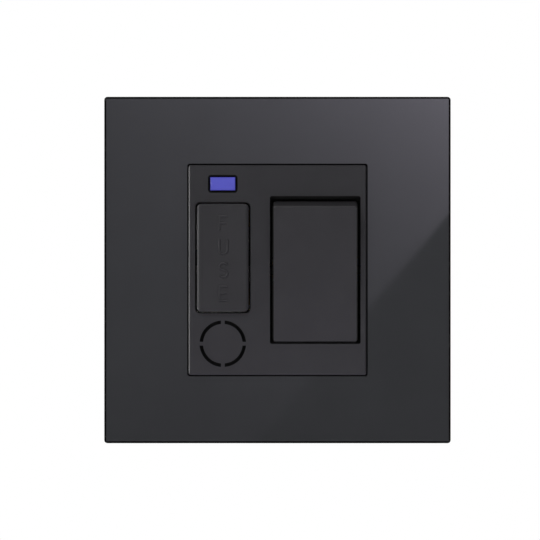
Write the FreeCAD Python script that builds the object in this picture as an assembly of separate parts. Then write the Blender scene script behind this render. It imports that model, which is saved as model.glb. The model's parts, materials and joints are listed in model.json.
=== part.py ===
import FreeCAD, Part
import math
import os

# Fused spur unit, in millimetres.
# X runs to the right, Y into the wall and Z up. Y = 0 is the wall's surface, where the
# yoke lies, and the origin is midway between the yoke's two fixing holes.

# Pane and cover frame
plate_side = 86.0
plate_corner_radius = 0.8
plate_arris = 0.45
plate_projection = 9.5
pane_thickness = 3.5
window_corner_radius = 0.6
frame_inset = 0.8
frame_corner_radius = 2.0
frame_wall = 1.6
frame_web = 1.8
frame_lip_wall = 1.2
frame_lip_depth = 1.4
rib_thickness = 1.2
rib_depth = 1.8
rib_setback = 1.0
side_rib_pitch = 10.0
end_rib_offset = 24.0
end_rib_pitch = 9.0
pry_notch_width = 7.0
pry_notch_depth = 1.4

# Yoke
yoke_inset = 7.5
yoke_thickness = 1.6
yoke_corner_radius = 3.0
yoke_ledge = 0.85
fixing_spacing = 60.3
fixing_hole_radius = 2.1
rebate_depth = 0.6
rebate_clearance = 0.2
flange_length = 40.0
flange_height = 2.2
claw_offset = 12.0
claw_width = 6.0
claw_thickness = 1.2
claw_lip = 0.7
claw_lip_height = 0.8
claw_clearance = 0.2
earth_tongue_width = 5.0
earth_tongue_length = 4.6
earth_riser_inset = 0.8

# Centre plate
insert_width = 44.1
insert_height = 52.1
insert_gap = 0.35
insert_proud = 0.4
insert_corner_radius = 0.5
insert_arris = 0.3
insert_front_wall = 2.2
insert_left_wall = 1.58
insert_right_wall = 1.42
insert_end_wall = 1.6
insert_flange = 1.0
insert_flange_thickness = 1.0
guide_wall = 1.4
screw_boss_radius = 2.2

# Indicator
indicator_z = 21.4
lens_width = 6.4
lens_height = 3.5
lens_corner_radius = 0.5
lens_gap = 0.47
lens_fit = 0.1
lens_groove_depth = 1.3
lens_flange_overhang = 0.65
lens_flange_thickness = 1.0
lens_pipe_length = 1.2
lens_arris = 0.3
led_radius = 1.5
led_length = 5.3
led_gap = 0.3
board_thickness = 1.0
board_width = 10.2
board_height = 5.6
resistor_radius = 1.0
resistor_length = 5.4
resistor_lead_radius = 0.25
link_radius = 0.5
link_run_z = 19.4

# Break-out ring of the flex outlet
outlet_z = -18.3
outlet_outer_radius = 5.78
outlet_inner_radius = 4.92
outlet_web = 0.95
outlet_skin = 0.4
outlet_boss_depth = 1.5
outlet_boss_wall = 0.8

# Fuse drawer and fuse
drawer_width = 12.9
drawer_end_cover = 0.7
drawer_z = 3.05
drawer_gap_side = 0.45
drawer_gap_end = 0.4
drawer_gap_depth = 1.5
drawer_fit = 0.2
drawer_corner_radius = 1.2
drawer_edge_radius = 0.95
drawer_proud = 1.0
drawer_face_thickness = 2.8
drawer_wall = 1.2
drawer_wall_inset = 0.65
drawer_cup_depth = 4.6
drawer_length = 20.9
drawer_travel = 15.0
drawer_lug = 0.85
drawer_lug_width = 4.0
drawer_lug_length = 1.4
saddle_height = 10.0
saddle_rib = 1.6
saddle_clearance = 0.05
saddle_mouth = 5.0
fuse_length = 25.4
fuse_cap_radius = 3.175
fuse_cap_length = 6.0
fuse_cap_wall = 0.225
fuse_y = 1.0
clip_thickness = 0.5
clip_width = 4.2
clip_clearance = 0.075
clip_spread = 0.7
clip_lip = 1.2

# Rocker and its two poles
rocker_width = 21.1
rocker_face_height = 34.0
rocker_gap_side = 0.7
rocker_gap_end = 0.465
rocker_proud = 2.0
rocker_ledge_side = 1.3
rocker_ledge_end = 1.7
rocker_ledge_thickness = 1.4
rocker_ledge_break = 2.8
rocker_ledge_rim = 0.55
rocker_pivot_depth = 8.3
rocker_skirt = 6.2
rocker_draft = 5.0
rocker_tilt = 7.0
rocker_corner_radius = 0.8
rocker_arris = 0.25
rocker_wall = 1.5
rocker_front_wall = 1.8
trunnion_radius = 1.2
trunnion_length = 1.65
trunnion_clearance = 0.06
trunnion_end_gap = 0.1
ear_radius = 2.2
pole_offset = 7.0
plunger_radius = 1.25
plunger_reach = 10.33
plunger_tail = 2.6
plunger_tip_radius = 0.7
plunger_nose_length = 0.9
plunger_clearance = 0.07
plunger_fit = 0.08
tube_wall = 0.55
tube_reach = 6.6
spring_wire = 0.32
spring_turns = 4
spring_steps = 8
seesaw_tilt = 8.0
seesaw_width = 4.5
seesaw_thickness = 0.8
seesaw_up = 10.2
seesaw_down = 7.5
seesaw_turn_up = 0.9
tip_offset = 8.7
tip_radius = 1.5
tip_thickness = 0.6
tip_gap = 0.05
fulcrum_radius = 0.4
fulcrum_gap = 0.02
cradle_length = 6.0
cradle_wall = 0.6
cradle_clearance = 0.15
cradle_ear = 1.6

# Base, straps and terminals
base_overhang = 0.95
base_wall = 1.6
base_corner_radius = 2.0
cavity_depth = 12.0
floor_thickness = 1.2
strap_thickness = 0.8
strap_gap = 0.15
earth_strap_width = 4.0
barrier_offset = 3.0
barrier_thickness = 1.0
barrier_height = 8.0
terminal_width = 5.8
terminal_depth = 9.0
terminal_length = 8.6
terminal_bore_radius = 2.1
terminal_bore_cover = 1.3
terminal_screw_radius = 1.95
terminal_screw_lift = 0.4
screw_fit = 0.05
screw_slot_width = 0.8
screw_slot_depth = 1.1
pocket_clearance = 0.1
pocket_wall = 1.2
pocket_rear_wall = 1.2
driver_opening_half = 2.3
wire_entry_half = 2.5
strap_overlap = 4.9
hook_thickness = 1.1
hook_width = 4.0
hook_z = 21.4
hook_reach = 3.4
hook_barb = 1.2
hook_barb_length = 2.2
hook_clearance = 0.2
cover_screw_x = -4.2
cover_screw_z = 22.4
cover_screw_radius = 1.25
cover_screw_head_radius = 2.2
cover_screw_head = 1.6
cover_screw_grip = 4.4
cover_hole_radius = 1.4
clamp_z = -5.0
clamp_screw_pitch = 14.0
clamp_boss_radius = 2.3
clamp_gap = 5.5
clamp_width = 6.0
clamp_thickness = 2.4
clamp_arch = 0.8
clamp_screw_radius = 1.45
clamp_hole_radius = 1.7
clamp_head_radius = 2.6
clamp_head = 1.8
rivet_radius = 0.9
rivet_head_radius = 1.5
rivet_head = 0.6

# Levels along Y, front to rear
pane_front = -plate_projection
pane_rear = pane_front + pane_thickness
insert_front = pane_front - insert_proud
insert_wall_rear = insert_front + insert_front_wall
yoke_front = -yoke_thickness
rim_y = -rebate_depth
floor_y = cavity_depth
floor_rear = floor_y + floor_thickness
strap_front = floor_y - strap_thickness
base_rear = floor_y + terminal_depth + pocket_clearance + pocket_rear_wall
rocker_face_y = insert_front - rocker_proud
pivot_y = rocker_face_y + rocker_pivot_depth
seesaw_front = pivot_y + plunger_reach + plunger_clearance
fulcrum_y = seesaw_front + seesaw_thickness
drawer_front = insert_front - drawer_proud
drawer_rear = drawer_front + drawer_length
lens_rear = insert_wall_rear + lens_flange_thickness + lens_pipe_length
board_front = lens_rear + led_gap + led_length
board_rear = board_front + board_thickness
bore_y = floor_y + terminal_bore_cover + terminal_bore_radius
clamp_front = floor_rear + clamp_gap
clamp_rear = clamp_front + clamp_thickness

# Sizes and places across the face
yoke_side = plate_side - 2 * yoke_inset
drawer_height = fuse_length + 2 * drawer_end_cover
half_width = insert_width / 2
half_height = insert_height / 2
window_width = insert_width + 2 * insert_gap
window_height = insert_height + 2 * insert_gap
drawer_hole_width = drawer_width + 2 * drawer_gap_side
drawer_hole_height = drawer_height + 2 * drawer_gap_end
drawer_x = -half_width + insert_left_wall + drawer_hole_width / 2
rocker_window_width = rocker_width + 2 * rocker_gap_side
rocker_x = half_width - insert_right_wall - rocker_window_width / 2
tilt = math.radians(rocker_tilt)
draft = math.radians(rocker_draft)
face_half = rocker_face_height / 2
skirt_half = face_half + rocker_skirt * math.tan(draft)
rocker_reach = face_half * math.cos(tilt) + rocker_pivot_depth * math.sin(tilt)
rocker_window_height = 2 * (rocker_reach + rocker_gap_end)
lens_hole_width = lens_width + 2 * lens_gap
lens_hole_height = lens_height + 2 * lens_gap
base_width = insert_width + 2 * base_overhang
base_height = insert_height + 2 * base_overhang
yoke_window_width = insert_width - 2 * yoke_ledge
yoke_window_height = insert_height - 2 * yoke_ledge
bay_half_width = base_width / 2 - base_wall
bay_half_height = base_height / 2 - base_wall
chamber_left = drawer_x - drawer_hole_width / 2
chamber_right = drawer_x + drawer_hole_width / 2
chamber_top = drawer_z + drawer_hole_height / 2
chamber_bottom = drawer_z - drawer_hole_height / 2
lug_reach = drawer_width / 2 + drawer_lug
lug_groove = lug_reach + 0.13
lug_front = drawer_rear - drawer_lug_length
groove_front = lug_front - drawer_travel - 0.1
terminal_outer = bay_half_height - 0.2
terminal_z = terminal_outer - terminal_length / 2
terminal_inner = terminal_outer - terminal_length
live_x = rocker_x - pole_offset
neutral_x = rocker_x + pole_offset
strap_end = terminal_inner + strap_overlap
barrel_radius = fuse_cap_radius - fuse_cap_wall
cap_middle = fuse_length / 2 - fuse_cap_length / 2
feed_left = chamber_right + guide_wall + 0.67
feed_right = feed_left + 3.2
cradle_half = seesaw_width / 2 + cradle_clearance + cradle_wall
housing_left = live_x - terminal_width / 2 - pocket_clearance - pocket_wall
housing_right = neutral_x + terminal_width / 2 + pocket_clearance + pocket_wall
housing_inner = terminal_inner - pocket_clearance - pocket_wall

Vector = FreeCAD.Vector
X_AXIS = Vector(1, 0, 0)
Y_AXIS = Vector(0, 1, 0)
Z_AXIS = Vector(0, 0, 1)
MITRED = 1
FEW_SIDES = 12
WIRE_SIDES = 8


def block(x0, x1, y0, y1, z0, z1):
    """Rectangular block between two opposite corners."""
    return Part.makeBox(x1 - x0, y1 - y0, z1 - z0, Vector(x0, y0, z0))


def rod_x(y, z, radius, x0, x1):
    return Part.makeCylinder(radius, x1 - x0, Vector(x0, y, z), X_AXIS)


def rod_y(x, z, radius, y0, y1):
    return Part.makeCylinder(radius, y1 - y0, Vector(x, y0, z), Y_AXIS)


def rod_z(x, y, radius, z0, z1):
    return Part.makeCylinder(radius, z1 - z0, Vector(x, y, z0), Z_AXIS)


def prism(points, direction):
    """Closed polygon through the points, extruded along the direction."""
    wire = Part.makePolygon(list(points) + [points[0]])
    return Part.Face(wire).extrude(direction)


def side_prism(profile, x0, x1):
    """Profile of (y, z) points, extruded across X."""
    return prism([Vector(x0, y, z) for y, z in profile], Vector(x1 - x0, 0, 0))


def plan_prism(profile, z0, z1):
    """Profile of (x, y) points, extruded up Z."""
    return prism([Vector(x, y, z0) for x, y in profile], Vector(0, 0, z1 - z0))


def face_prism(profile, y0, y1):
    """Profile of (x, z) points, extruded along Y."""
    return prism([Vector(x, y0, z) for x, z in profile], Vector(0, y1 - y0, 0))


def rounded_plate(x, z, width, height, radius, y0, y1):
    """Plate with rounded corners, centred on (x, z) and standing from y0 to y1."""
    half_w = width / 2
    half_h = height / 2
    bend = radius * (1 - math.sqrt(0.5))
    edges = []
    for sx, sz in ((1, 1), (-1, 1), (-1, -1), (1, -1)):
        across = Vector(x + sx * (half_w - radius), y0, z + sz * half_h)
        along = Vector(x + sx * half_w, y0, z + sz * (half_h - radius))
        middle = Vector(x + sx * (half_w - bend), y0, z + sz * (half_h - bend))
        ends = (along, across) if sx == sz else (across, along)
        if edges:
            edges.append(Part.makeLine(edges[-1].valueAt(edges[-1].LastParameter), ends[0]))
        edges.append(Part.Arc(ends[0], middle, ends[1]).toShape())
    edges.append(Part.makeLine(edges[-1].valueAt(edges[-1].LastParameter),
                               edges[0].valueAt(edges[0].FirstParameter)))
    return Part.Face(Part.Wire(edges)).extrude(Vector(0, y1 - y0, 0))


def ribbon(path, thickness):
    """Outline of a bent strip: the path of its middle, thickened with mitred bends."""
    half = thickness / 2
    directions = []
    for (u0, v0), (u1, v1) in zip(path, path[1:]):
        length = math.hypot(u1 - u0, v1 - v0)
        directions.append(((u1 - u0) / length, (v1 - v0) / length))
    one_side = []
    other_side = []
    for index, (u, v) in enumerate(path):
        before = directions[max(index - 1, 0)]
        after = directions[min(index, len(directions) - 1)]
        mitre_u = -(before[1] + after[1])
        mitre_v = before[0] + after[0]
        scale = half * 2 / (mitre_u ** 2 + mitre_v ** 2)
        one_side.append((u + mitre_u * scale, v + mitre_v * scale))
        other_side.append((u - mitre_u * scale, v - mitre_v * scale))
    return one_side + other_side[::-1]


def round_corners(radius, sides):
    """Corners of a regular polygon that stands for a small circle."""
    angles = [2 * math.pi * (index + 0.5) / sides for index in range(sides)]
    return [(radius * math.cos(angle), radius * math.sin(angle)) for angle in angles]


def few_sided_rod(x, z, radius, y0, y1):
    """Rod along Y drawn with few sides, for small pieces that repeat."""
    return face_prism([(x + u, z + v) for u, v in round_corners(radius, FEW_SIDES)], y0, y1)


def wire_along(points, radius):
    """Thin wire along straight runs, mitred where they meet."""
    corners = [Vector(u, v, 0) for u, v in round_corners(radius, WIRE_SIDES)]
    section = laid_along(Part.makePolygon(corners + [corners[0]]), points[0], points[1] - points[0])
    return Part.makePolygon(points).makePipeShell([section], True, False, MITRED)


def turned(profile, origin, axis):
    """Solid of revolution: (radius, height) points about an axis through the origin."""
    points = [Vector(r, 0, h) for r, h in profile]
    wire = Part.makePolygon(points + [points[0]])
    solid = Part.Face(wire).revolve(Vector(0, 0, 0), Z_AXIS, 360)
    return laid_along(solid, origin, axis)


def laid_along(shape, origin, axis):
    """A shape drawn up the Z axis, turned to lie along another axis from an origin."""
    placed = shape.copy()
    placed.Placement = FreeCAD.Placement(origin, FreeCAD.Rotation(Z_AXIS, axis))
    return placed


def front_edges(shape, y):
    """Edges of a shape that lie wholly in the plane at y."""
    found = []
    for edge in shape.Edges:
        if abs(edge.BoundBox.YMin - y) < 1e-4 and abs(edge.BoundBox.YMax - y) < 1e-4:
            found.append(edge)
    return found


def outer_edges(shape, y, half_w, half_h):
    """Front edges that touch the outline of a plate of the given half size."""
    found = []
    for edge in front_edges(shape, y):
        box = edge.BoundBox
        across = max(abs(box.XMin), abs(box.XMax))
        up = max(abs(box.ZMin), abs(box.ZMax))
        if across > half_w - 1e-3 or up > half_h - 1e-3:
            found.append(edge)
    return found


def on_rocker(shape):
    """Turn a shape from the rocker's middle position to its rest, pressed at the bottom."""
    turned_shape = shape.copy()
    turned_shape.rotate(Vector(0, pivot_y, 0), X_AXIS, rocker_tilt)
    return turned_shape


def on_seesaw(shape):
    """Turn a shape from the moving contact's middle position to its rest, closed at the top."""
    turned_shape = shape.copy()
    turned_shape.rotate(Vector(0, fulcrum_y, 0), X_AXIS, -seesaw_tilt)
    return turned_shape


def front_panel():
    pane = rounded_plate(0, 0, plate_side, plate_side, plate_corner_radius, pane_front, pane_rear)
    half = plate_side / 2
    pane = pane.makeChamfer(plate_arris, outer_edges(pane, pane_front, half, half))
    opening = rounded_plate(0, 0, window_width, window_height, window_corner_radius,
                            pane_front - 1, pane_rear + 1)
    return pane.cut(opening)


def cover_frame():
    side = plate_side - 2 * frame_inset
    inner_half = side / 2 - frame_wall
    web_rear = pane_rear + frame_web
    rib_rear = web_rear + rib_depth
    tray = rounded_plate(0, 0, side, side, frame_corner_radius, pane_rear, 0)
    hollow = rounded_plate(0, 0, 2 * inner_half, 2 * inner_half, frame_corner_radius - frame_wall / 2,
                           web_rear, 1)
    lip = rounded_plate(0, 0, window_width + 2 * frame_lip_wall, window_height + 2 * frame_lip_wall,
                        window_corner_radius + frame_lip_wall, web_rear, web_rear + frame_lip_depth)
    frame = tray.cut(hollow).fuse(lip)
    ribs = []
    for side_sign in (-1, 1):
        for step in (-3, -2, -1, 1, 2, 3):
            z = step * side_rib_pitch
            x0, x1 = sorted((side_sign * (window_width / 2 + rib_setback), side_sign * (inner_half + 0.1)))
            ribs.append(block(x0, x1, web_rear, rib_rear, z - rib_thickness / 2, z + rib_thickness / 2))
        for x in (-end_rib_offset - end_rib_pitch, -end_rib_offset, end_rib_offset,
                  end_rib_offset + end_rib_pitch):
            z0, z1 = sorted((side_sign * (window_height / 2 + rib_setback), side_sign * (inner_half + 0.1)))
            ribs.append(block(x - rib_thickness / 2, x + rib_thickness / 2, web_rear, rib_rear, z0, z1))
        for x in (-claw_offset, claw_offset):
            ribs.append(frame_claw(x, side_sign, web_rear))
    frame = frame.multiFuse(ribs)
    opening = rounded_plate(0, 0, window_width, window_height, window_corner_radius, pane_rear - 1, 1)
    notch = block(-pry_notch_width / 2, pry_notch_width / 2, -pry_notch_depth, 1,
                  -side / 2 - 1, -inner_half + 0.1)
    return frame.cut(opening).cut(notch).removeSplitter()


def frame_claw(x, side_sign, web_rear):
    """Springy claw behind the tray, whose lip clicks into a slot of the yoke's flange."""
    inner = yoke_side / 2 + claw_clearance
    outer = inner + claw_thickness
    tip = yoke_front - claw_clearance
    lip_front = tip - claw_lip_height - 0.3
    profile = [(web_rear, outer), (tip, outer), (tip, inner), (tip - 0.3, inner - claw_lip),
               (lip_front, inner - claw_lip), (lip_front, inner), (web_rear, inner)]
    profile = [(y, side_sign * z) for y, z in profile]
    return side_prism(profile, x - claw_width / 2, x + claw_width / 2)


def mounting_yoke():
    half = yoke_side / 2
    plate = rounded_plate(0, 0, yoke_side, yoke_side, yoke_corner_radius, yoke_front, 0)
    plate = plate.cut(block(-yoke_window_width / 2, yoke_window_width / 2, yoke_front - 1, 1,
                            -yoke_window_height / 2, yoke_window_height / 2))
    tongue_end = yoke_window_height / 2 - earth_tongue_length
    plate = plate.fuse(block(rocker_x - earth_tongue_width / 2, rocker_x + earth_tongue_width / 2,
                             yoke_front, 0, tongue_end, yoke_window_height / 2 + 1))
    plate = plate.cut(rounded_plate(0, 0, base_width + 2 * rebate_clearance,
                                    base_height + 2 * rebate_clearance,
                                    base_corner_radius + rebate_clearance, rim_y, 1))
    slot_rear = yoke_front - claw_clearance / 2
    slot_front = slot_rear - claw_lip_height - 0.6
    for side_sign in (-1, 1):
        z0, z1 = sorted((side_sign * (half - yoke_thickness), side_sign * half))
        flange = block(-flange_length / 2, flange_length / 2, yoke_front - flange_height,
                       yoke_front, z0, z1)
        plate = plate.fuse(flange)
        for x in (-claw_offset, claw_offset):
            slot_half = claw_width / 2 + claw_clearance
            plate = plate.cut(block(x - slot_half, x + slot_half, slot_front, slot_rear,
                                    z0 - 0.1, z1 + 0.1))
        plate = plate.cut(rod_y(side_sign * fixing_spacing / 2, 0, fixing_hole_radius,
                                yoke_front - 1, 1))
    plate = plate.cut(few_sided_rod(rocker_x, rivet_z(), rivet_radius, yoke_front - 1, 1))
    return plate.removeSplitter()


def rivet_z():
    """Height of the rivet that joins the earth strap to the yoke's tongue."""
    riser_inner = yoke_window_height / 2 - earth_riser_inset - strap_thickness / 2
    return riser_inner - rivet_head_radius - 0.15


def outlet_groove():
    """Ring groove round the break-out disc, interrupted by four webs and closed by a thin skin."""
    groove_rear = insert_wall_rear + outlet_boss_depth - outlet_skin
    ring = rod_y(drawer_x, outlet_z, outlet_outer_radius, insert_front - 1, groove_rear)
    ring = ring.cut(rod_y(drawer_x, outlet_z, outlet_inner_radius, insert_front - 2, groove_rear + 1))
    arm = outlet_outer_radius + 1
    half_web = outlet_web / 2
    ring = ring.cut(block(drawer_x - arm, drawer_x + arm, insert_front - 2, groove_rear + 1,
                          outlet_z - half_web, outlet_z + half_web))
    return ring.cut(block(drawer_x - half_web, drawer_x + half_web, insert_front - 2, groove_rear + 1,
                          outlet_z - arm, outlet_z + arm))


def rocker_ledge():
    """End walls of the rocker's well and the shelf round its foot, narrower where the ears pass."""
    half_w = rocker_window_width / 2
    half_h = rocker_window_height / 2
    front = yoke_front - rocker_ledge_thickness
    shelf = block(rocker_x - half_w - 0.1, rocker_x + half_w + 0.1, front, yoke_front,
                  -half_h - insert_end_wall, half_h + insert_end_wall)
    well = block(rocker_x - half_w + rocker_ledge_side, rocker_x + half_w - rocker_ledge_side,
                 front - 1, yoke_front + 1, -half_h + rocker_ledge_end, half_h - rocker_ledge_end)
    ears = block(rocker_x - half_w + rocker_ledge_rim, rocker_x + half_w - rocker_ledge_rim,
                 front - 1, yoke_front + 1, -rocker_ledge_break, rocker_ledge_break)
    shelf = shelf.cut(well).cut(ears)
    ends = []
    for side_sign in (-1, 1):
        z0, z1 = sorted((side_sign * half_h, side_sign * (half_h + guide_wall)))
        ends.append(block(rocker_x - half_w - guide_wall, rocker_x + half_w + 0.1,
                          insert_wall_rear - 0.1, yoke_front, z0, z1))
    return [shelf] + ends


def centre_plate():
    plate = rounded_plate(0, 0, insert_width, insert_height, insert_corner_radius,
                          insert_front, yoke_front)
    plate = plate.makeChamfer(insert_arris, outer_edges(plate, insert_front, half_width, half_height))
    plate = plate.cut(block(-half_width + insert_left_wall, half_width - insert_right_wall,
                            insert_wall_rear, yoke_front + 1,
                            -half_height + insert_end_wall, half_height - insert_end_wall))
    reach = rocker_window_height / 2
    cheek = block(rocker_x - rocker_window_width / 2 - guide_wall, rocker_x - rocker_window_width / 2,
                  insert_wall_rear, yoke_front, -reach, reach)
    guide = block(-half_width + 0.1, chamber_right + guide_wall, insert_wall_rear, yoke_front,
                  chamber_bottom - guide_wall, chamber_top + guide_wall)
    rim_half_width = lens_hole_width / 2 + lens_flange_overhang + 0.9
    rim_half_height = lens_hole_height / 2 + lens_flange_overhang + 0.8
    lens_rim = block(drawer_x - rim_half_width, drawer_x + rim_half_width,
                     insert_wall_rear, insert_wall_rear + lens_flange_thickness + 0.2,
                     indicator_z - rim_half_height, indicator_z + rim_half_height)
    flange = rounded_plate(0, 0, insert_width + 2 * insert_flange, insert_height + 2 * insert_flange,
                           insert_corner_radius, yoke_front - insert_flange_thickness, yoke_front)
    flange = flange.cut(block(-half_width + 0.5, half_width - 0.5, yoke_front - 2, yoke_front + 1,
                              -half_height + 0.5, half_height - 0.5))
    outlet_boss = few_sided_rod(drawer_x, outlet_z, outlet_outer_radius + outlet_boss_wall,
                                insert_wall_rear, insert_wall_rear + outlet_boss_depth)
    additions = [cheek, guide, lens_rim, flange, outlet_boss] + rocker_ledge()
    for side_sign in (-1, 1):
        additions.append(few_sided_rod(cover_screw_x, side_sign * cover_screw_z, screw_boss_radius,
                                       insert_wall_rear, yoke_front))
    for side_sign, z in ((1, hook_z), (1, -hook_z), (-1, hook_z)):
        additions.append(snap_hook(side_sign, z))
    plate = plate.multiFuse(additions)
    pocket_half_width = lens_hole_width / 2 + lens_flange_overhang + 0.1
    pocket_half_height = lens_hole_height / 2 + lens_flange_overhang + 0.1
    lens_flange_pocket = block(drawer_x - pocket_half_width, drawer_x + pocket_half_width,
                               insert_wall_rear, insert_wall_rear + 2,
                               indicator_z - pocket_half_height, indicator_z + pocket_half_height)
    lens_groove = rounded_plate(drawer_x, indicator_z, lens_hole_width, lens_hole_height,
                                lens_corner_radius + lens_gap * 0.6,
                                insert_front - 1, insert_front + lens_groove_depth)
    lens_hole = rounded_plate(drawer_x, indicator_z, lens_width + 2 * lens_fit,
                              lens_height + 2 * lens_fit, lens_corner_radius + lens_fit,
                              insert_front, insert_wall_rear + 1)
    drawer_rebate = rounded_plate(drawer_x, drawer_z, drawer_hole_width, drawer_hole_height,
                                  drawer_corner_radius, insert_front - 1, insert_front + drawer_gap_depth)
    drawer_hole = rounded_plate(drawer_x, drawer_z, drawer_width + 2 * drawer_fit,
                                drawer_height + 2 * drawer_fit, drawer_corner_radius,
                                insert_front, yoke_front + 1)
    rocker_hole = rounded_plate(rocker_x, 0, rocker_window_width, rocker_window_height,
                                insert_corner_radius, insert_front - 1, insert_wall_rear + 1)
    cuts = [outlet_groove(), lens_flange_pocket, lens_groove, lens_hole, drawer_rebate, drawer_hole,
            rocker_hole, lug_slots(yoke_front + 1)]
    slot_half = trunnion_radius + trunnion_clearance
    for side_sign in (-1, 1):
        inner = rocker_x + side_sign * (rocker_window_width / 2 - rocker_ledge_side)
        outer = rocker_x + side_sign * (rocker_width / 2 + trunnion_length + trunnion_end_gap)
        x0, x1 = sorted((inner, outer))
        cuts.append(rod_x(pivot_y, 0, slot_half, x0, x1))
        cuts.append(block(x0, x1, pivot_y, yoke_front + 1, -slot_half, slot_half))
        cuts.append(few_sided_rod(cover_screw_x, side_sign * cover_screw_z,
                                  cover_screw_radius + screw_fit,
                                  yoke_front - cover_screw_grip - 0.3, yoke_front + 1))
    for cutter in cuts:
        plate = plate.cut(cutter)
    return plate.removeSplitter()


def snap_hook(side_sign, z):
    """Hook on the centre plate that reaches through the yoke and catches the base's wall."""
    outer = yoke_window_width / 2 - hook_clearance
    inner = outer - hook_thickness
    barb_front = hook_reach - hook_barb_length
    profile = [(inner, insert_wall_rear), (outer, insert_wall_rear), (outer, barb_front),
               (outer + hook_barb, barb_front), (outer + 0.2, hook_reach), (inner, hook_reach)]
    profile = [(side_sign * x, y) for x, y in profile]
    return plan_prism(profile, z - hook_width / 2, z + hook_width / 2)


def lug_slots(rear):
    """Grooves beside the drawer's hole in which its two stop lugs run."""
    half = drawer_lug_width / 2 + 0.2
    return block(drawer_x - lug_groove, drawer_x + lug_groove, groove_front, rear,
                 drawer_z - half, drawer_z + half)


def indicator_lens():
    window = rounded_plate(drawer_x, indicator_z, lens_width, lens_height, lens_corner_radius,
                           insert_front, insert_wall_rear)
    window = window.makeChamfer(lens_arris, front_edges(window, insert_front))
    flange_half_width = lens_hole_width / 2 + lens_flange_overhang
    flange_half_height = lens_hole_height / 2 + lens_flange_overhang
    flange = block(drawer_x - flange_half_width, drawer_x + flange_half_width,
                   insert_wall_rear, insert_wall_rear + lens_flange_thickness,
                   indicator_z - flange_half_height, indicator_z + flange_half_height)
    pipe_half_width = lens_width / 2 - 0.7
    pipe_half_height = lens_height / 2 - 0.25
    pipe = block(drawer_x - pipe_half_width, drawer_x + pipe_half_width, insert_wall_rear, lens_rear,
                 indicator_z - pipe_half_height, indicator_z + pipe_half_height)
    return window.fuse(flange).fuse(pipe).removeSplitter()


def indicator_led():
    profile = [(0, 0), (led_radius + 0.4, 0), (led_radius + 0.4, 1.0), (led_radius, 1.0),
               (led_radius, led_length), (0, led_length)]
    return turned(profile, Vector(drawer_x, board_front, indicator_z), -Y_AXIS)


def board_edges():
    """Left, right, bottom and top of the indicator's circuit board."""
    left = drawer_x - board_width / 2 + 0.1
    bottom = chamber_top + guide_wall + 0.5
    return left, left + board_width, bottom, bottom + board_height


def indicator_board():
    left, right, bottom, top = board_edges()
    return block(left, right, board_front, board_rear, bottom, top)


def indicator_resistor():
    y = board_rear + resistor_radius + 0.2
    z = indicator_z + 1.2
    half = resistor_length / 2
    body = rod_x(y, z, resistor_radius, drawer_x - half, drawer_x + half)
    for side_sign in (-1, 1):
        inner = drawer_x + side_sign * (half - 0.2)
        outer = drawer_x + side_sign * (half + 0.7)
        lead = wire_along([Vector(inner, y, z), Vector(outer, y, z), Vector(outer, board_rear, z)],
                          resistor_lead_radius)
        body = body.fuse(lead)
    return body


def indicator_live_wire():
    x0 = drawer_x + 1.2
    x1 = (feed_left + feed_right) / 2
    deep = strap_front - 3.8
    z_end = drawer_z + cap_middle
    points = [Vector(x0, board_rear, link_run_z), Vector(x0, deep, link_run_z),
              Vector(x1, deep, link_run_z), Vector(x1, deep, z_end), Vector(x1, strap_front, z_end)]
    return wire_along(points, link_radius)


def indicator_neutral_wire():
    x0 = drawer_x + 3.2
    x1 = bay_half_width - 1.1
    shallow = board_rear + 4.0
    z_end = neutral_tag_z()
    points = [Vector(x0, board_rear, link_run_z), Vector(x0, shallow, link_run_z),
              Vector(x1, shallow, link_run_z), Vector(x1, shallow, z_end), Vector(x1, strap_front, z_end)]
    return wire_along(points, link_radius)


def neutral_tag_z():
    """Height of the tag on the neutral strap that takes the indicator's wire."""
    return -cradle_length / 2 - 2.8


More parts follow.
